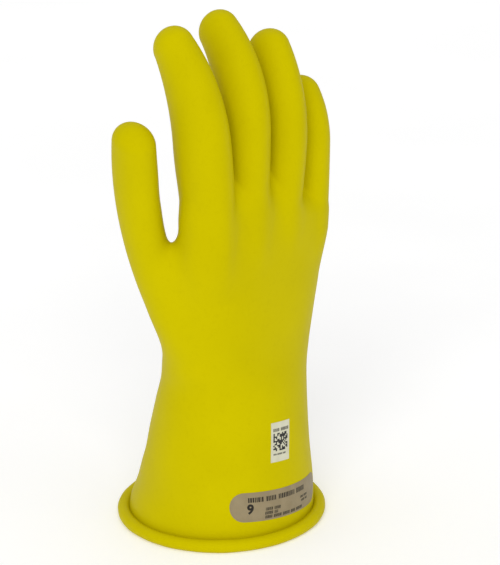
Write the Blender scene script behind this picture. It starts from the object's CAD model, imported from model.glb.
"""Looks of the rubber insulating glove: one continuous dipped skin, divided where it folds,
with its rolled cuff, its class label and its small test sticker."""
import math

import bmesh
import bpy
import numpy as np
from mathutils import Matrix, Vector


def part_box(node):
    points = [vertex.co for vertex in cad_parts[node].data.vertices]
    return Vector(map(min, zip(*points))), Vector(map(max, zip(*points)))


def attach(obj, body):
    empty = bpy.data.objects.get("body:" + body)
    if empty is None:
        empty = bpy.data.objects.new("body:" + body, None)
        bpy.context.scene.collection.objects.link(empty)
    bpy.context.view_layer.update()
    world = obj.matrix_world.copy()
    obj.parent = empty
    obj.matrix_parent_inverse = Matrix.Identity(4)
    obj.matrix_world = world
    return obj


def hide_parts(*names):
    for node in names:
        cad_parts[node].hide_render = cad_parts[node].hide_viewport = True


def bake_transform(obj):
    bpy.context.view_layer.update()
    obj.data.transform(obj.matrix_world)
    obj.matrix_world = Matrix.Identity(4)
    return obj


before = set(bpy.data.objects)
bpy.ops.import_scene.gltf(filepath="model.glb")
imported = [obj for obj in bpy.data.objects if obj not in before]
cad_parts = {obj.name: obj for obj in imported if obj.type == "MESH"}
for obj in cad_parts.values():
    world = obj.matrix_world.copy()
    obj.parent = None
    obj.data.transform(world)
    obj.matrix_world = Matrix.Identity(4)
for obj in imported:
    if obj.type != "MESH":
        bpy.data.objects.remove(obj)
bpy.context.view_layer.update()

MM = 0.001
WALL = 0.7                # thickness of the rubber, in millimetres like every size below

# ------------------------------------------------------------------ shape of the skin

# Rings of the sleeve and the hand: height, half width, half depth, middle x, middle y,
# squareness (2 is an ellipse; more is flatter on its four sides).
RINGS = np.array([
    (0.0, 50.2, 50.2, 0.0, 0.0, 2.0),
    (4.0, 50.1, 50.1, 0.0, 0.0, 2.0),
    (9.0, 49.7, 49.5, 0.1, -0.5, 2.0),
    (20.0, 47.7, 47.3, 0.6, -2.6, 2.0),
    (41.0, 45.7, 42.6, 0.0, -5.6, 2.0),
    (62.0, 44.0, 38.2, 0.3, -8.2, 2.0),
    (73.0, 43.2, 35.4, 0.3, -9.8, 2.05),
    (85.0, 42.5, 32.4, 0.8, -11.4, 2.1),
    (97.0, 43.3, 30.0, 0.8, -13.1, 2.2),
    (115.0, 44.0, 27.2, 1.0, -17.0, 2.3),
    (135.0, 46.0, 23.8, 1.0, -20.9, 2.45),
    (158.0, 47.6, 19.6, -0.5, -25.4, 2.6),
    (176.0, 46.6, 15.8, 0.0, -28.6, 2.7),
])
WEB_FOOT = 175.0          # where the hand starts to close between the fingers
WEB_RISE = 30.0           # over this height it would thin to nothing
WEB_CREST = 0.955         # but it ends in a crest at this share of it
WEB_HALF_DEPTH = 1.9
WEB_NARROWING = 14.0      # half width that the hand loses over that rise
TAIL = 30.0               # how far a digit runs on below its root, sinking into the hand
TAIL_TAPER = 0.4
TAIL_SINK = {             # how far across and how deep its lower end is drawn in
    "index": (4.0, 7.0), "middle": (0.0, 7.0), "ring": (0.0, 7.0), "little": (-4.0, 7.0),
    "thumb": (7.0, 1.0),
}
WEB_FALL = 0.42           # how the crest drops towards the little finger, per mm across
WEB_FALL_FROM = -5.0
WEB_FALL_HEIGHTS = (160.0, 185.0)         # the drop sets in between these heights

# Each digit: root, lean and splay and curl in degrees, length of its straight part, length
# of its middle line, and its mean radius at root, middle and tip.
DIGIT_SIZES = ("root", "lean", "splay", "curl", "straight", "reach", "radii")
DIGITS = {
    "index": ((-33.2, -31.8, 165.0), 3.2, -1.5, 34.3, 54.1, 104.7, (12.0, 14.7, 10.8)),
    "middle": ((-10.3, -31.0, 165.0), 0.8, 3.3, 44.3, 57.4, 108.9, (12.1, 13.6, 10.6)),
    "ring": ((13.9, -30.2, 165.0), -1.8, 5.0, 31.5, 43.4, 92.9, (12.0, 13.2, 11.0)),
    "little": ((37.4, -28.6, 160.0), 2.1, 5.2, 33.6, 44.8, 68.4, (11.7, 12.0, 11.3)),
    "thumb": ((-44.2, -9.1, 128.7), 11.2, -12.8, -26.8, 0.1, 97.5, (9.1, 11.6, 11.0)),
}
FINGERS = ("index", "middle", "ring", "little")
WIDTH_SHARE = 0.88        # a finger is narrower than its mean radius across the hand
DEPTH_SHARE = 1.12        # and deeper from back to palm

# Where each digit's skin is cut into pieces, along its middle line: the first cut is just
# above the web, and the others are halfway along a sleeve that doesn't fold.
CUTS = {
    "index": (40.0, 56.5, 79.0),
    "middle": (40.0, 57.5, 81.5),
    "ring": (37.5, 53.0, 73.5),
    "little": (33.0, 44.5, 57.8),
    "thumb": (43.0, 60.5),
}
CUT_BAND = 4.0            # faces this near a cut are offered to it
# Where the bend of a digit's first and last piece is complete, along its middle line.
FIRST_FOLD = {"index": 53.0, "middle": 53.0, "ring": 50.0, "little": 43.0, "thumb": 56.0}
LAST_FOLD = {"index": 97.0, "middle": 100.5, "ring": 89.5, "little": 68.5, "thumb": 84.0}
SKIN_FOOT = 3.2           # the sleeve's lower end, inside the rolled edge

# Fillets where the digits grow together: reach at the foot, then (loss, from, to) in height.
FINGER_FILLET = (12.0, ((7.0, 158.0, 182.0), (4.2, 192.0, 210.0)))
THUMB_FILLET = (15.0, ((11.0, 150.0, 184.0),))
ROOT_FILLET = 7.0         # between the fingers and the hand

# Soft dents and swellings: middle, radius, depth (a negative depth swells).
DENTS = (
    ((-31.0, 26.0, 42.0), 9.0, 0.9),      # where the cuff was pressed at its thumb side
    ((-37.0, 17.0, 31.0), 9.0, -0.5),
    ((6.0, -44.0, 127.0), 20.0, 0.35),    # across the back of the hand
    ((-14.0, -46.0, 150.0), 16.0, -0.4),
    ((24.0, -44.0, 104.0), 18.0, -0.3),
    ((-48.5, -12.5, 177.0), 10.0, 0.7),   # the thumb's inner side is a little flat
    ((-49.5, -12.5, 194.0), 11.0, 0.8),
)


def hermite(x, xs, table):
    """Smooth curve through the rows of a table."""
    slopes = np.gradient(table, xs, axis=0)
    i = np.clip(np.searchsorted(xs, x) - 1, 0, len(xs) - 2)
    gap = (xs[i + 1] - xs[i])[:, None]
    t = np.clip((x - xs[i])[:, None] / gap, 0.0, 1.0)
    a = (1 + 2 * t) * (1 - t) ** 2 * table[i] + t * (1 - t) ** 2 * gap * slopes[i]
    return a + t * t * (3 - 2 * t) * table[i + 1] + t * t * (t - 1) * gap * slopes[i + 1]


def ease(x, start, end):
    """0 before start, 1 after end, and smooth between them."""
    t = np.clip((x - start) / (end - start), 0.0, 1.0)
    return t * t * (3 - 2 * t)


def join(a, b, reach):
    """Smooth union of two fields, with a fillet about as wide as reach."""
    near = np.maximum(reach - np.abs(a - b), 0.0) / reach
    return np.minimum(a, b) - near * near * reach / 4


def join_out(a, b, reach=2.0):
    """Smooth common part of two fields."""
    return -join(-a, -b, reach)


def fillet(z, sizes):
    """The reach of a fillet at each height."""
    reach, losses = sizes
    for loss, start, end in losses:
        reach = reach - loss * ease(z, start, end)
    return reach


def sleeve_field(p):
    """How far points are outside the sleeve and the hand, without the digits."""
    x, y, z = p.T
    shear = ease(z, *WEB_FALL_HEIGHTS) * WEB_FALL * np.maximum(x - WEB_FALL_FROM, 0.0)
    level = z + shear
    ring = hermite(np.minimum(level, WEB_FOOT), RINGS[:, 0], RINGS[:, 1:])
    close = np.clip((level - WEB_FOOT) / WEB_RISE, 0.0, 1.0)
    half_width = ring[:, 0] - WEB_NARROWING * close ** 2
    # The hand thins to the webs, slowly and then steeply, and ends in a thin rounded crest.
    half_depth = np.maximum(ring[:, 1] * (1 - close ** 2), WEB_HALF_DEPTH)
    across = x - ring[:, 2]
    along = y - ring[:, 3]
    power = ring[:, 4]
    share = (np.abs(across / half_width) ** power + np.abs(along / half_depth) ** power)
    share = np.maximum(share, 1e-9) ** (1 / power)
    away = np.hypot(across, along)
    crest = level - WEB_FOOT - WEB_RISE * WEB_CREST
    return join_out(away - away / share, crest)


class Digit:
    """A finger or the thumb: a straight run and then an arc, with an oval section."""

    def __init__(self, name):
        sizes = dict(zip(DIGIT_SIZES, DIGITS[name]))
        self.name = name
        self.root = np.array(sizes["root"])
        self.straight = sizes["straight"]
        self.reach = sizes["reach"]
        self.radii = sizes["radii"]
        self.bend = math.radians(sizes["curl"]) / (self.reach - self.straight)
        turn = Matrix.Rotation(math.radians(sizes["splay"]), 3, "Y")
        turn = turn @ Matrix.Rotation(-math.radians(sizes["lean"]), 3, "X")
        self.axes = np.array(turn)

    def radius(self, s):
        root, middle, tip = self.radii
        h = np.clip(s / self.reach, 0.0, 1.0)
        root = root * (1 + TAIL_TAPER * np.clip(s / TAIL, -1.0, 0.0))
        return root * (1 - h) * (1 - 2 * h) + middle * 4 * h * (1 - h) + tip * h * (2 * h - 1)

    def middle_line(self, s):
        """A point of the middle line, and the digit's direction there, in the glove's frame."""
        angle = self.bend * max(s - self.straight, 0.0)
        depth = (1 - math.cos(angle)) / self.bend
        height = min(s, self.straight) + math.sin(angle) / self.bend
        point = self.root + self.axes @ np.array((0.0, depth, height))
        return point, self.axes @ np.array((0.0, math.sin(angle), math.cos(angle)))

    def unroll(self, p):
        """Across, depth and distance along the middle line, and how far past either end."""
        local = (p - self.root) @ self.axes
        across, depth, height = local.T
        side = 1.0 if self.bend > 0 else -1.0
        bend_radius = 1.0 / abs(self.bend)
        inward = bend_radius - side * depth
        above = height - self.straight
        angle = np.arctan2(above, inward)
        curved = above > 0
        s = np.where(curved, self.straight + bend_radius * angle, height)
        offset = np.where(curved, side * (bend_radius - np.hypot(inward, above)), depth)
        end = abs(self.bend) * (self.reach - self.straight)
        end_depth = side * bend_radius * (1 - math.cos(end))
        end_height = self.straight + bend_radius * math.sin(end)
        past_depth = depth - end_depth
        past_height = height - end_height
        forward = past_height * math.cos(end) + side * past_depth * math.sin(end)
        sideways = past_depth * math.cos(end) - side * past_height * math.sin(end)
        beyond = forward > 0
        s = np.where(beyond, self.reach + forward, s)
        offset = np.where(beyond, sideways, offset)
        tail = np.clip(s / TAIL, -1.0, 0.0) ** 2
        across = across - TAIL_SINK[self.name][0] * tail
        offset = offset - TAIL_SINK[self.name][1] * tail
        past = np.where(s > self.reach, s - self.reach, np.minimum(s + TAIL, 0.0))
        return across, offset, s, past

    def field(self, p):
        across, offset, s, past = self.unroll(p)
        radius = self.radius(s)
        share = np.sqrt(
            (across / (WIDTH_SHARE * radius)) ** 2
            + (offset / (DEPTH_SHARE * radius)) ** 2
            + (past / radius) ** 2
        )
        away = np.sqrt(across ** 2 + offset ** 2 + past ** 2)
        return away - away / np.maximum(share, 1e-9)


digits = {name: Digit(name) for name in DIGITS}


def skin_field(p):
    """Negative inside the glove's outer surface, and zero on it."""
    z = p[:, 2]
    web = fillet(z, FINGER_FILLET)
    fingers = digits["index"].field(p)
    for name in FINGERS[1:]:
        fingers = join(fingers, digits[name].field(p), web)
    hand = join(sleeve_field(p), fingers, ROOT_FILLET)
    whole = join(hand, digits["thumb"].field(p), fillet(z, THUMB_FILLET))
    for middle, radius, depth in DENTS:
        square = ((p - np.array(middle)) ** 2).sum(1) / radius ** 2
        whole = whole + depth * np.exp(-square)
    return whole


def skin_normal(p, step=0.05):
    """Slope of the field, in one pass over the six neighbours of each point."""
    slope = np.empty_like(p)
    for axis in range(3):
        shift = np.zeros(3)
        shift[axis] = step
        slope[:, axis] = skin_field(p + shift) - skin_field(p - shift)
    return slope / (2 * step)


FARTHEST_STEP = 1.5       # a point moves no more than this in one round


def onto_skin(p, rounds=3):
    """Move points onto the skin along its slope."""
    for _ in range(rounds):
        slope = skin_normal(p)
        size = np.maximum((slope ** 2).sum(1), 1e-6)
        shift = np.clip(skin_field(p) / size, -FARTHEST_STEP, FARTHEST_STEP)
        p = p - slope * shift[:, None]
    return p


def unit(vectors):
    return vectors / np.maximum(np.linalg.norm(vectors, axis=1), 1e-12)[:, None]


# ------------------------------------------------------------------ mesh of the skin

GRID_LOW = np.array((-80.0, -56.0, 0.0))
GRID_HIGH = np.array((62.0, 57.0, 286.0))
GRID_STEP = np.array((1.0, 1.4, 1.6))
CORNERS = np.array([(i, j, k) for i in (0, 1) for j in (0, 1) for k in (0, 1)])


def grid_values(axes):
    """The skin's field on the grid, worked out slab by slab."""
    values = np.empty([len(a) for a in axes])
    flat = np.stack(np.meshgrid(axes[0], axes[1], indexing="ij"), -1).reshape(-1, 2)
    for k, height in enumerate(axes[2]):
        points = np.column_stack((flat, np.full(len(flat), height)))
        values[:, :, k] = skin_field(points).reshape(len(axes[0]), len(axes[1]))
    return values


def surface_net():
    """Vertices and quads of the zero surface: one vertex in each cell that it crosses."""
    axes = [np.arange(GRID_LOW[i], GRID_HIGH[i], GRID_STEP[i]) for i in range(3)]
    values = grid_values(axes)
    inside = values < 0
    cells = tuple(n - 1 for n in values.shape)
    count = np.zeros(cells, int)
    for i, j, k in CORNERS:
        count += inside[i:i + cells[0], j:j + cells[1], k:k + cells[2]]
    crossed = (count > 0) & (count < 8)
    where = np.argwhere(crossed)
    number = np.full(cells, -1)
    number[crossed] = np.arange(len(where))
    total = np.zeros((len(where), 3))
    hits = np.zeros(len(where))
    for a in CORNERS:
        for b in CORNERS:
            if (b - a).sum() != 1 or (b < a).any():
                continue
            va = values[tuple((where + a).T)]
            vb = values[tuple((where + b).T)]
            cross = (va < 0) != (vb < 0)
            t = va[cross] / (va[cross] - vb[cross])
            total[cross] += where[cross] + a + t[:, None] * (b - a)
            hits[cross] += 1
    points = GRID_LOW + GRID_STEP * total / hits[:, None]
    quads = []
    for axis in range(3):
        u, v = (axis + 1) % 3, (axis + 2) % 3
        ahead = np.take(inside, range(1, inside.shape[axis]), axis)
        here = np.take(inside, range(inside.shape[axis] - 1), axis)
        at = np.argwhere(ahead != here)
        low = (at[:, u] > 0) & (at[:, v] > 0)
        high = (at[:, u] < cells[u]) & (at[:, v] < cells[v])
        at = at[low & high]
        step_u, step_v = np.eye(3, dtype=int)[u], np.eye(3, dtype=int)[v]
        ring = [at - step_u - step_v, at - step_v, at, at - step_u]
        quad = np.column_stack([number[tuple(r.T)] for r in ring])
        out = here[tuple(at.T)]
        quads.append(np.where(out[:, None], quad, quad[:, ::-1]))
    return points, np.vstack(quads)


def relax(points, quads, rounds=3):
    """Even out the quads without leaving the skin."""
    edges = np.vstack([quads[:, [i, (i + 1) % 4]] for i in range(4)])
    for _ in range(rounds):
        total = np.zeros_like(points)
        hits = np.zeros(len(points))
        for a, b in ((0, 1), (1, 0)):
            np.add.at(total, edges[:, a], points[edges[:, b]])
            np.add.at(hits, edges[:, a], 1.0)
        middle = total / np.maximum(hits, 1)[:, None]
        normal = unit(skin_normal(points))
        move = middle - points
        move -= (move * normal).sum(1)[:, None] * normal
        still = points[:, 2] < SKIN_FOOT
        move[still] = 0.0
        points = points + 0.5 * move
    return onto_skin(points, 2)


def nearest_digit(points):
    """Which digit each point belongs to, and how far along it."""
    names = list(digits)
    fields = np.column_stack([digits[n].field(points) for n in names])
    stations = np.column_stack([digits[n].unroll(points)[2] for n in names])
    best = fields.argmin(1)
    return best, stations[np.arange(len(points)), best]


def cut_skin(points, quads):
    """Divide the faces along every cut, and drop what is below the skin's foot."""
    mesh = bmesh.new()
    vertices = [mesh.verts.new(p) for p in points]
    for quad in quads:
        mesh.faces.new([vertices[i] for i in quad])
    mesh.verts.ensure_lookup_table()
    mesh.faces.ensure_lookup_table()
    centres = points[quads].mean(1)
    best, station = nearest_digit(centres)
    bands = []
    for number, name in enumerate(digits):
        for cut in CUTS[name]:
            near = (best == number) & (np.abs(station - cut) < CUT_BAND)
            faces = [mesh.faces[i] for i in np.flatnonzero(near)]
            point, direction = digits[name].middle_line(cut)
            bands.append((faces, point, direction, False))
    foot = [mesh.faces[i] for i in np.flatnonzero(centres[:, 2] < SKIN_FOOT + CUT_BAND)]
    bands.append((foot, np.array((0.0, 0.0, SKIN_FOOT)), np.array((0.0, 0.0, 1.0)), True))
    for faces, point, direction, drop_below in bands:
        edges = {e for f in faces for e in f.edges}
        verts = {v for f in faces for v in f.verts}
        bmesh.ops.bisect_plane(mesh, geom=list(verts) + list(edges) + faces, dist=1e-4,
                               plane_co=point, plane_no=direction, clear_inner=drop_below)
    mesh.verts.index_update()
    points = np.array([v.co for v in mesh.verts])
    faces = [[v.index for v in f.verts] for f in mesh.faces]
    mesh.free()
    return points, faces


def piece_of_faces(points, faces):
    """The piece that each face belongs to: (digit, number of the cut below it) or the hand."""
    centres = np.array([points[f].mean(0) for f in faces])
    best, station = nearest_digit(centres)
    names = list(digits)
    pieces = []
    for digit, s in zip(best, station):
        name = names[digit]
        below = sum(s > cut for cut in CUTS[name])
        pieces.append((name, below) if below else ("hand", 0))
    return pieces


def closed_shell(name, points, normals, faces):
    """A skin of even thickness on the given outer faces, closed along its rims."""
    used = sorted({i for f in faces for i in f})
    slot = {old: new for new, old in enumerate(used)}
    outer = points[used]
    normal = normals[used]
    count = len(used)
    vertices = np.vstack((outer, outer - WALL * normal))
    shell = [[slot[i] for i in f] for f in faces]
    inner = [[i + count for i in reversed(f)] for f in shell]
    directed = {(f[i - 1], f[i]) for f in shell for i in range(len(f))}
    rims = [[b, a, a + count, b + count] for a, b in directed if (b, a) not in directed]
    mesh = bpy.data.meshes.new(name)
    mesh.from_pydata(vertices * MM, [], shell + inner + rims)
    mesh.polygons.foreach_set("use_smooth", [True] * len(mesh.polygons))
    skin_faces = len(shell) * 2
    corner_normals = []
    both = np.vstack((normal, -normal))
    for polygon in mesh.polygons:
        if polygon.index < skin_faces:
            corner_normals.extend(both[v] for v in polygon.vertices)
        else:
            corner_normals.extend([polygon.normal] * len(polygon.vertices))
    mesh.normals_split_custom_set([tuple(n) for n in corner_normals])
    piece = bpy.data.objects.new(name, mesh)
    bpy.context.scene.collection.objects.link(piece)
    return piece


def build_skin(material):
    """Make the whole skin once, then stand each piece on its bodies."""
    points, quads = surface_net()
    points = onto_skin(points)
    points = relax(points, quads)
    points, faces = cut_skin(points, quads)
    normals = unit(skin_normal(points))
    groups = {}
    for face, piece in zip(faces, piece_of_faces(points, faces)):
        groups.setdefault(piece, []).append(face)
    for (digit, number), members in groups.items():
        if digit == "hand":
            piece = closed_shell("hand_skin", points, normals, members)
            replaced = ("gauntlet_sleeve", "wrist_flex", "hand_shell")
            bodies = ("cuff", "hand")
            low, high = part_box("wrist_flex")
        else:
            folds = ("base", "tip") if digit == "thumb" else ("base", "middle", "tip")
            fold = folds[number - 1]
            piece = closed_shell(f"{digit}_{fold}_skin", points, normals, members)
            replaced, bodies = stand_for(digit, folds, number)
            stations = CUTS[digit] + (LAST_FOLD[digit],)
            low, high = stations[number - 1:number + 1]
            if number == 1:
                high = FIRST_FOLD[digit]
            ends = [digits[digit].middle_line(s)[0] * MM for s in (low, high)]
        piece.data.materials.append(material)
        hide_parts(*replaced)
        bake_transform(piece)


def stand_for(digit, folds, number):
    """The CAD nodes that a digit's piece stands for, and the two bodies that it joins."""
    zones = {"base": "lower", "middle": "upper", "tip": "tip"}
    fold = folds[number - 1]
    last = number == len(folds)
    solid = f"{digit}_tip_cap" if last else f"{digit}_{zones[fold]}_sleeve"
    below = "hand" if number == 1 else f"{digit}_{zones[folds[number - 2]]}"
    above = f"{digit}_tip" if last else f"{digit}_{zones[fold]}"
    return (f"{digit}_{fold}_flex", solid), (below, above)


# ------------------------------------------------------------------ materials

def new_material(name):
    material = bpy.data.materials.new(name)
    material.use_nodes = True
    nodes = material.node_tree.nodes
    return material, nodes, material.node_tree.links, nodes["Principled BSDF"]


def noise(nodes, links, coordinates, scale, detail=3.0, roughness=0.5, stretch=None):
    """A noise texture in the glove's own coordinates, stretched along an axis if asked."""
    source = coordinates.outputs["Object"]
    if stretch:
        mapping = nodes.new("ShaderNodeMapping")
        mapping.inputs["Scale"].default_value = stretch
        links.new(source, mapping.inputs["Vector"])
        source = mapping.outputs["Vector"]
    texture = nodes.new("ShaderNodeTexNoise")
    texture.inputs["Scale"].default_value = scale
    texture.inputs["Detail"].default_value = detail
    texture.inputs["Roughness"].default_value = roughness
    links.new(source, texture.inputs["Vector"])
    return texture.outputs["Fac"]


def ramp(nodes, links, fac, low, high, low_at=0.35, high_at=0.65):
    """Colours or greys between two ends of a factor."""
    item = nodes.new("ShaderNodeValToRGB")
    item.color_ramp.elements[0].position = low_at
    item.color_ramp.elements[0].color = low
    item.color_ramp.elements[1].position = high_at
    item.color_ramp.elements[1].color = high
    links.new(fac, item.inputs["Fac"])
    return item.outputs["Color"]


def spread(nodes, links, fac, low, high):
    """A factor between 0 and 1 mapped to a range of values."""
    item = nodes.new("ShaderNodeMapRange")
    item.inputs["To Min"].default_value = low
    item.inputs["To Max"].default_value = high
    links.new(fac, item.inputs["Value"])
    return item.outputs["Result"]


def bump_chain(nodes, links, shader, heights):
    """Bumps one over another: (height output, strength, distance in metres)."""
    normal = None
    for height, strength, distance in heights:
        bump = nodes.new("ShaderNodeBump")
        bump.inputs["Strength"].default_value = strength
        bump.inputs["Distance"].default_value = distance
        links.new(height, bump.inputs["Height"])
        if normal:
            links.new(normal, bump.inputs["Normal"])
        normal = bump.outputs["Normal"]
    links.new(normal, shader.inputs["Normal"])


def rubber_material():
    """Yellow dipped rubber: a satin skin with faint flow marks, cloudiness and fine grain."""
    material, nodes, links, shader = new_material("yellow_rubber")
    place = nodes.new("ShaderNodeTexCoord")
    cloud = noise(nodes, links, place, 28.0, 4.0)
    flow = noise(nodes, links, place, 90.0, 2.0, stretch=(1.0, 1.0, 0.16))
    grain = noise(nodes, links, place, 1400.0, 2.0)
    speck = noise(nodes, links, place, 420.0, 3.0, 0.6)
    base = ramp(nodes, links, cloud, (0.550, 0.468, 0.0, 1), (0.576, 0.492, 0.0, 1))
    tone = ramp(nodes, links, speck, (0.95, 0.94, 0.9, 1), (1.0, 1.0, 1.0, 1), 0.30, 0.48)
    mix = nodes.new("ShaderNodeMix")
    mix.data_type = "RGBA"
    mix.blend_type = "MULTIPLY"
    mix.inputs["Factor"].default_value = 0.5
    links.new(base, mix.inputs["A"])
    links.new(tone, mix.inputs["B"])
    links.new(mix.outputs["Result"], shader.inputs["Base Color"])
    links.new(spread(nodes, links, flow, 0.40, 0.54), shader.inputs["Roughness"])
    shader.inputs["Specular IOR Level"].default_value = 0.04
    shader.inputs["Specular Tint"].default_value = (1.0, 0.9, 0.1, 1.0)
    bump_chain(nodes, links, shader, (
        (cloud, 0.10, 0.0012),
        (flow, 0.10, 0.0004),
        (grain, 0.10, 0.00006),
    ))
    return material


def print_material(name, low, high, roughness, grain_scale=900.0):
    """Printed or bonded film: a slightly uneven colour and a fine tooth."""
    material, nodes, links, shader = new_material(name)
    place = nodes.new("ShaderNodeTexCoord")
    patch = noise(nodes, links, place, 160.0, 3.0)
    tooth = noise(nodes, links, place, grain_scale, 2.0)
    links.new(ramp(nodes, links, patch, low, high), shader.inputs["Base Color"])
    links.new(spread(nodes, links, tooth, roughness - 0.08, roughness + 0.08),
              shader.inputs["Roughness"])
    shader.inputs["Specular IOR Level"].default_value = 0.25
    bump_chain(nodes, links, shader, ((tooth, 0.15, 0.00004),))
    return material


# Films and inks: darker and lighter colour, and roughness.
FILM_LOOKS = {
    "label_film": ((0.265, 0.210, 0.120, 1), (0.300, 0.240, 0.140, 1), 0.5),
    "label_ink": ((0.012, 0.009, 0.007, 1), (0.022, 0.018, 0.013, 1), 0.55),
    "sticker_film": ((0.60, 0.59, 0.44, 1), (0.66, 0.65, 0.50, 1), 0.4),
    "sticker_ink": ((0.02, 0.02, 0.02, 1), (0.035, 0.035, 0.03, 1), 0.5),
}


# ------------------------------------------------------------------ rolled edge

BEAD_CENTRE = 53.0
BEAD_RADIUS = 3.4
BEAD_HEIGHT = 3.0
BEAD_TURNS = 360          # steps around the cuff
BEAD_STEPS = 44           # steps around the roll
ROLL_WAVES = ((0.06, 5, 0.6), (0.05, 11, 2.1), (0.03, 23, 4.0))   # size, count, phase
FREE_EDGE = (4.9, 0.10, 0.14)             # angle around the roll, width in radians, depth


def build_bead(material):
    """The rolled edge: a roll that is slightly uneven by hand, pressed flat underneath."""
    around = np.linspace(0, 2 * np.pi, BEAD_TURNS, endpoint=False)
    across = np.linspace(0, 2 * np.pi, BEAD_STEPS, endpoint=False)
    turn, roll = np.meshgrid(around, across, indexing="ij")
    uneven = sum(size * np.sin(count * turn + phase) for size, count, phase in ROLL_WAVES)
    radius = BEAD_RADIUS + uneven
    # The free edge of the rubber shows as a fine step on the roll's underside.
    at, width, depth = FREE_EDGE
    radius = radius - depth * np.exp(-((roll - at) / width) ** 2)
    out = BEAD_CENTRE + radius * np.cos(roll)
    height = np.maximum(BEAD_HEIGHT + radius * np.sin(roll), 0.0)
    points = np.stack((out * np.cos(turn), out * np.sin(turn), height), -1).reshape(-1, 3)
    faces = []
    for i in range(BEAD_TURNS):
        for j in range(BEAD_STEPS):
            a = i * BEAD_STEPS + j
            b = i * BEAD_STEPS + (j + 1) % BEAD_STEPS
            c = ((i + 1) % BEAD_TURNS) * BEAD_STEPS + (j + 1) % BEAD_STEPS
            d = ((i + 1) % BEAD_TURNS) * BEAD_STEPS + j
            faces.append((a, d, c, b))
    bead = smooth_piece("rolled_bead", points, faces, material)
    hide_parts("cuff_bead")
    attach(bead, "cuff")


def smooth_piece(name, points, faces, material):
    mesh = bpy.data.meshes.new(name)
    mesh.from_pydata(np.asarray(points) * MM, [], faces)
    mesh.polygons.foreach_set("use_smooth", [True] * len(mesh.polygons))
    mesh.materials.append(material)
    piece = bpy.data.objects.new(name, mesh)
    bpy.context.scene.collection.objects.link(piece)
    return piece


# ------------------------------------------------------------------ label and sticker

# Each film's place on the back of the cuff: distance around from its middle, height, and
# clockwise turn in degrees.
LABEL_PLACE = (0.0, 20.4, 4.5)
LABEL_WIDTH = 67.0
LABEL_HEIGHT = 16.2
LABEL_LIFT = 0.16
INK_LIFT = 0.03
STICKER_PLACE = (-0.8, 54.2, 5.5)
STICKER_WIDTH = 12.3
STICKER_HEIGHT = 21.3
STICKER_LIFT = 0.14
FILM_FOOT = -0.25         # a film's underside lies a little inside the rubber
INK_ROOT = 0.04           # and the ink's underside a little inside its film
INK_COLUMN = 0.8          # longest step of an ink pad around the cuff

# Lines of print: left end, foot, height of the strokes, and the strokes in each word.
LABEL_LINES = (
    (-23.6, 2.6, 2.7, (8, 6, 11, 7)),
    (-13.6, -2.7, 1.7, (7, 6)),
    (-13.8, -4.9, 1.7, (7, 4)),
    (-13.6, -7.1, 1.7, (6, 8, 7, 5, 9)),
    (11.5, -1.3, 1.2, (6, 8)),
    (12.5, -3.4, 1.2, (7, 5)),
)
STICKER_LINES = (
    (-4.8, 5.7, 1.7, (6, 8)),
    (-4.6, -7.0, 0.9, (6, 9, 5)),
)
STROKE_WIDTHS = (0.16, 0.34)              # shares of the strokes' height, like the gaps
STROKE_GAP = 0.15
WORD_GAP = 0.5
NUMERAL_SIZE = 7.2
NUMERAL_WEIGHT = 0.30
NUMERAL_DEPTH = 0.04
NUMERAL_PLACE = (-24.2, -3.5)
BLOCK_COUNT = 12          # squares along each side of the sticker's block
BLOCK_SQUARE = 0.80
BLOCK_DARK = 0.68         # share of its squares that are printed


def on_back(u, v, place, lift):
    """Points on the back of the cuff, u across and v up a film that is put in its place."""
    around, level, turn = place
    cos, sin = math.cos(math.radians(turn)), math.sin(math.radians(turn))
    u, v = np.asarray(u, float).ravel(), np.asarray(v, float).ravel()
    height = level + v * cos - u * sin
    ring = hermite(height, RINGS[:, 0], RINGS[:, 1:])
    angle = (around + u * cos + v * sin) / (0.5 * (ring[:, 0] + ring[:, 1]))
    points = np.column_stack((
        ring[:, 2] + ring[:, 0] * np.sin(angle),
        ring[:, 3] - ring[:, 1] * np.cos(angle),
        height,
    ))
    for _ in range(2):
        slope = skin_normal(points)
        slope[:, 2] = 0.0
        size = np.maximum((slope ** 2).sum(1), 1e-6)
        points = points - slope * (skin_field(points) / size)[:, None]
    return points + lift * unit(skin_normal(points))


def patch(outline, place, low, high, columns, rows, shift=0.0):
    """A closed thin film: its half width at each height comes from the outline function."""
    v = np.linspace(-1, 1, rows)
    u = np.linspace(-1, 1, columns)
    heights, halves = outline(v)
    flat_u = (halves[:, None] * u[None, :]).ravel() + shift
    flat_v = np.repeat(heights, columns)
    top = on_back(flat_u, flat_v, place, high)
    bottom = on_back(flat_u, flat_v, place, low)
    count = rows * columns
    faces = []
    for r in range(rows - 1):
        for c in range(columns - 1):
            a = r * columns + c
            quad = (a, a + 1, a + 1 + columns, a + columns)
            faces.append(quad)
            faces.append(tuple(i + count for i in reversed(quad)))
    rim = list(range(columns))
    rim += [r * columns + columns - 1 for r in range(1, rows)]
    rim += [(rows - 1) * columns + c for c in range(columns - 2, -1, -1)]
    rim += [r * columns for r in range(rows - 2, 0, -1)]
    for a, b in zip(rim, rim[1:] + rim[:1]):
        faces.append((b, a, a + count, b + count))
    return np.vstack((top, bottom)), faces


def stadium(width, height):
    """Half width at each height of a strip with round ends."""
    def outline(v):
        # The rows crowd together near the top and bottom, where the ends curve most.
        rows = 0.5 * height * np.sin(0.5 * np.pi * v)
        return rows, 0.5 * (width - height) + np.sqrt(np.maximum(0.25 * height ** 2 - rows ** 2, 0))
    return outline


def rectangle(width, height):
    def outline(v):
        return 0.5 * height * v, np.full_like(v, 0.5 * width)
    return outline


def bar(width, low, high):
    def outline(v):
        return low + (high - low) * (v + 1) / 2, np.full_like(v, width / 2)
    return outline


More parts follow.
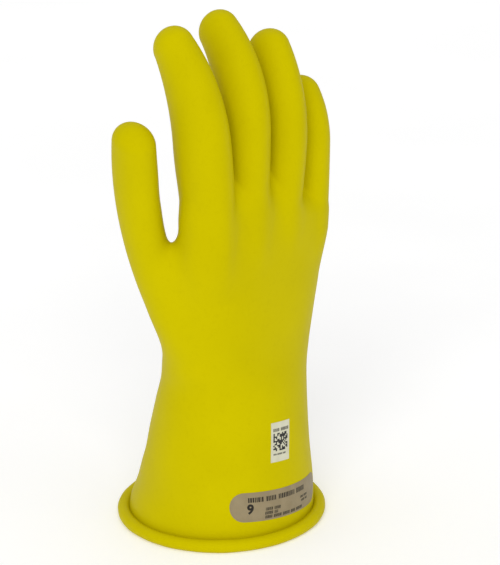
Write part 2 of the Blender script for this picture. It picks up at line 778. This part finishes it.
def film(name, outline, place, lift, columns, rows, material, node):
    points, faces = patch(outline, place, FILM_FOOT, lift, columns, rows)
    piece = smooth_piece(name, points, faces, material)
    keep_edges_crisp(piece)
    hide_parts(node)
    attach(piece, "cuff")


def keep_edges_crisp(piece, angle=40.0):
    """Mark the edges of a film as sharp, so that its face shades as one surface."""
    mesh = bmesh.new()
    mesh.from_mesh(piece.data)
    for edge in mesh.edges:
        if len(edge.link_faces) == 2 and edge.calc_face_angle() > math.radians(angle):
            edge.smooth = False
    mesh.to_mesh(piece.data)
    mesh.free()


def ink_bars(bars, place, lift):
    """Printed bars, each (left, right, bottom, top) on the film, as closed thin pads."""
    points, faces = [], []
    for left, right, bottom, top in bars:
        columns = max(2, int((right - left) / INK_COLUMN) + 2)
        start = sum(len(p) for p in points)
        pad, quads = patch(bar(right - left, bottom, top), place, lift - INK_LIFT - INK_ROOT,
                           lift, columns, 2, (left + right) / 2)
        points.append(pad)
        faces.extend(tuple(i + start for i in quad) for quad in quads)
    return np.vstack(points), faces


def print_line(chance, left, bottom, height, words):
    """A line of upright strokes with the weight of print: words of so many strokes each."""
    bars = []
    for strokes in words:
        for _ in range(strokes):
            width = height * chance.uniform(*STROKE_WIDTHS)
            bars.append((left, left + width, bottom, bottom + height))
            left += width + STROKE_GAP * height
        left += WORD_GAP * height
    return bars


def build_label(label_material, ink_material):
    film("class_label_print", stadium(LABEL_WIDTH, LABEL_HEIGHT), LABEL_PLACE, LABEL_LIFT,
         90, 25, label_material, "class_label")
    chance = np.random.default_rng(7)
    bars = [item for line in LABEL_LINES for item in print_line(chance, *line)]
    points, faces = ink_bars(bars, LABEL_PLACE, LABEL_LIFT + INK_LIFT)
    ink = smooth_piece("class_label_ink", points, faces, ink_material)
    keep_edges_crisp(ink)
    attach(ink, "cuff")
    build_size_number(ink_material)


def build_size_number(ink_material):
    """The glove size as a plain numeral, bent onto the label."""
    curve = bpy.data.curves.new("size_number_text", "FONT")
    curve.body = "9"
    curve.size = NUMERAL_SIZE
    curve.extrude = NUMERAL_DEPTH
    curve.offset = NUMERAL_WEIGHT
    curve.resolution_u = 6
    text = bpy.data.objects.new("size_number_text", curve)
    bpy.context.scene.collection.objects.link(text)
    bpy.context.view_layer.update()
    mesh = bpy.data.meshes.new_from_object(text)
    bpy.data.objects.remove(text)
    flat = np.array([v.co for v in mesh.vertices])
    surface = on_back(flat[:, 0] + NUMERAL_PLACE[0], flat[:, 1] + NUMERAL_PLACE[1],
                      LABEL_PLACE, LABEL_LIFT + INK_LIFT)
    normal = unit(skin_normal(surface))
    bent = surface + (flat[:, 2] - NUMERAL_DEPTH)[:, None] * normal
    mesh.vertices.foreach_set("co", (bent * MM).ravel())
    mesh.name = "size_number"
    mesh.materials.clear()
    mesh.materials.append(ink_material)
    number = bpy.data.objects.new("size_number", mesh)
    bpy.context.scene.collection.objects.link(number)
    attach(number, "cuff")


def code_block(chance):
    """Rows of random squares, each run of neighbours printed as one bar."""
    bars = []
    for row in range(BLOCK_COUNT):
        dark = chance.random(BLOCK_COUNT) < BLOCK_DARK
        bottom = (row - BLOCK_COUNT / 2) * BLOCK_SQUARE
        column = 0
        while column < BLOCK_COUNT:
            run = 1
            while dark[column] and column + run < BLOCK_COUNT and dark[column + run]:
                run += 1
            if dark[column]:
                left = (column - BLOCK_COUNT / 2) * BLOCK_SQUARE
                bars.append((left, left + run * BLOCK_SQUARE, bottom, bottom + BLOCK_SQUARE))
            column += run
    return bars


def build_sticker(sticker_material, ink_material):
    """A small white sticker with a made-up block of squares and two lines of marks."""
    film("test_sticker_film", rectangle(STICKER_WIDTH, STICKER_HEIGHT), STICKER_PLACE,
         STICKER_LIFT, 22, 30, sticker_material, "test_sticker")
    chance = np.random.default_rng(41)
    bars = code_block(chance)
    for line in STICKER_LINES:
        bars += print_line(chance, *line)
    points, faces = ink_bars(bars, STICKER_PLACE, STICKER_LIFT + INK_LIFT)
    ink = smooth_piece("test_sticker_ink", points, faces, ink_material)
    keep_edges_crisp(ink)
    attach(ink, "cuff")


# ------------------------------------------------------------------ camera, floor, light

CAMERA_AZIMUTH = math.radians(-43.0)
CAMERA_DISTANCE = 1.200       # level distance from the middle of the cuff
CAMERA_HEIGHT = 0.549
CAMERA_PITCH = math.radians(19.23)
CAMERA_PAN = math.radians(-0.84)
CAMERA_ROLL = math.radians(-1.0)
CAMERA_LENS = 153.7487        # millimetres, on a sensor of the next size
CAMERA_SENSOR = 36.0

KEY_PLACE = (-48.0, 32.0)     # azimuth and elevation in degrees
KEY_STRENGTH = 1.22
KEY_SPREAD = 40.0             # how wide it looks from the glove, in degrees
SURROUND_STRENGTH = 0.83
FLOOR_HALF = 6.0
FLOOR_GLOW = 0.17


def build_camera():
    data = bpy.data.cameras.new("camera")
    data.sensor_width = CAMERA_SENSOR
    data.lens = CAMERA_LENS
    data.clip_end = 20.0
    camera = bpy.data.objects.new("camera", data)
    bpy.context.scene.collection.objects.link(camera)
    place = Vector((math.sin(CAMERA_AZIMUTH) * CAMERA_DISTANCE,
                    -math.cos(CAMERA_AZIMUTH) * CAMERA_DISTANCE, CAMERA_HEIGHT))
    turn = Matrix.Rotation(CAMERA_AZIMUTH + CAMERA_PAN, 4, "Z")
    tilt = Matrix.Rotation(math.pi / 2 - CAMERA_PITCH, 4, "X")
    roll = Matrix.Rotation(CAMERA_ROLL, 4, "Z")
    camera.matrix_world = Matrix.Translation(place) @ turn @ tilt @ roll
    bpy.context.scene.camera = camera


def build_key_light():
    """A broad, far light, as from a large soft box."""
    data = bpy.data.lights.new("key", "SUN")
    data.energy = KEY_STRENGTH
    data.angle = math.radians(KEY_SPREAD)
    light = bpy.data.objects.new("key", data)
    bpy.context.scene.collection.objects.link(light)
    a, e = (math.radians(angle) for angle in KEY_PLACE)
    toward = Vector((math.sin(a) * math.cos(e), -math.cos(a) * math.cos(e), math.sin(e)))
    light.location = toward
    light.rotation_euler = (-toward).to_track_quat("-Z", "Y").to_euler()


def build_studio():
    """A white surround that is brighter overhead, one soft key light, and a white floor."""
    world = bpy.data.worlds.new("studio")
    world.use_nodes = True
    nodes, links = world.node_tree.nodes, world.node_tree.links
    background = nodes["Background"]
    place = nodes.new("ShaderNodeTexCoord")
    split = nodes.new("ShaderNodeSeparateXYZ")
    links.new(place.outputs["Generated"], split.inputs["Vector"])
    grey = ramp(nodes, links, split.outputs["Z"], (0.50, 0.50, 0.50, 1),
                (1.0, 1.0, 1.0, 1), 0.0, 1.0)
    links.new(grey, background.inputs["Color"])
    background.inputs["Strength"].default_value = SURROUND_STRENGTH
    bpy.context.scene.world = world
    build_key_light()
    mesh = bpy.data.meshes.new("floor")
    half = FLOOR_HALF
    mesh.from_pydata([(-half, -half, 0), (half, -half, 0), (half, half, 0), (-half, half, 0)],
                     [], [(0, 1, 2, 3)])
    floor = bpy.data.objects.new("floor", mesh)
    bpy.context.scene.collection.objects.link(floor)
    material, nodes, links, shader = new_material("floor_paint")
    place = nodes.new("ShaderNodeTexCoord")
    faint = noise(nodes, links, place, 6.0, 2.0)
    links.new(ramp(nodes, links, faint, (0.93, 0.93, 0.93, 1), (0.95, 0.95, 0.95, 1)),
              shader.inputs["Base Color"])
    shader.inputs["Roughness"].default_value = 0.9
    # The floor is lit from below as well, like a light table, so that no shadow is hard.
    shader.inputs["Emission Color"].default_value = (1.0, 1.0, 1.0, 1.0)
    shader.inputs["Emission Strength"].default_value = FLOOR_GLOW
    mesh.materials.append(material)


bpy.context.scene.view_settings.view_transform = "Standard"
build_camera()
build_studio()
rubber = rubber_material()
films = {name: print_material(name, *look) for name, look in FILM_LOOKS.items()}
build_skin(rubber)
build_bead(rubber)
build_label(films["label_film"], films["label_ink"])
build_sticker(films["sticker_film"], films["sticker_ink"])
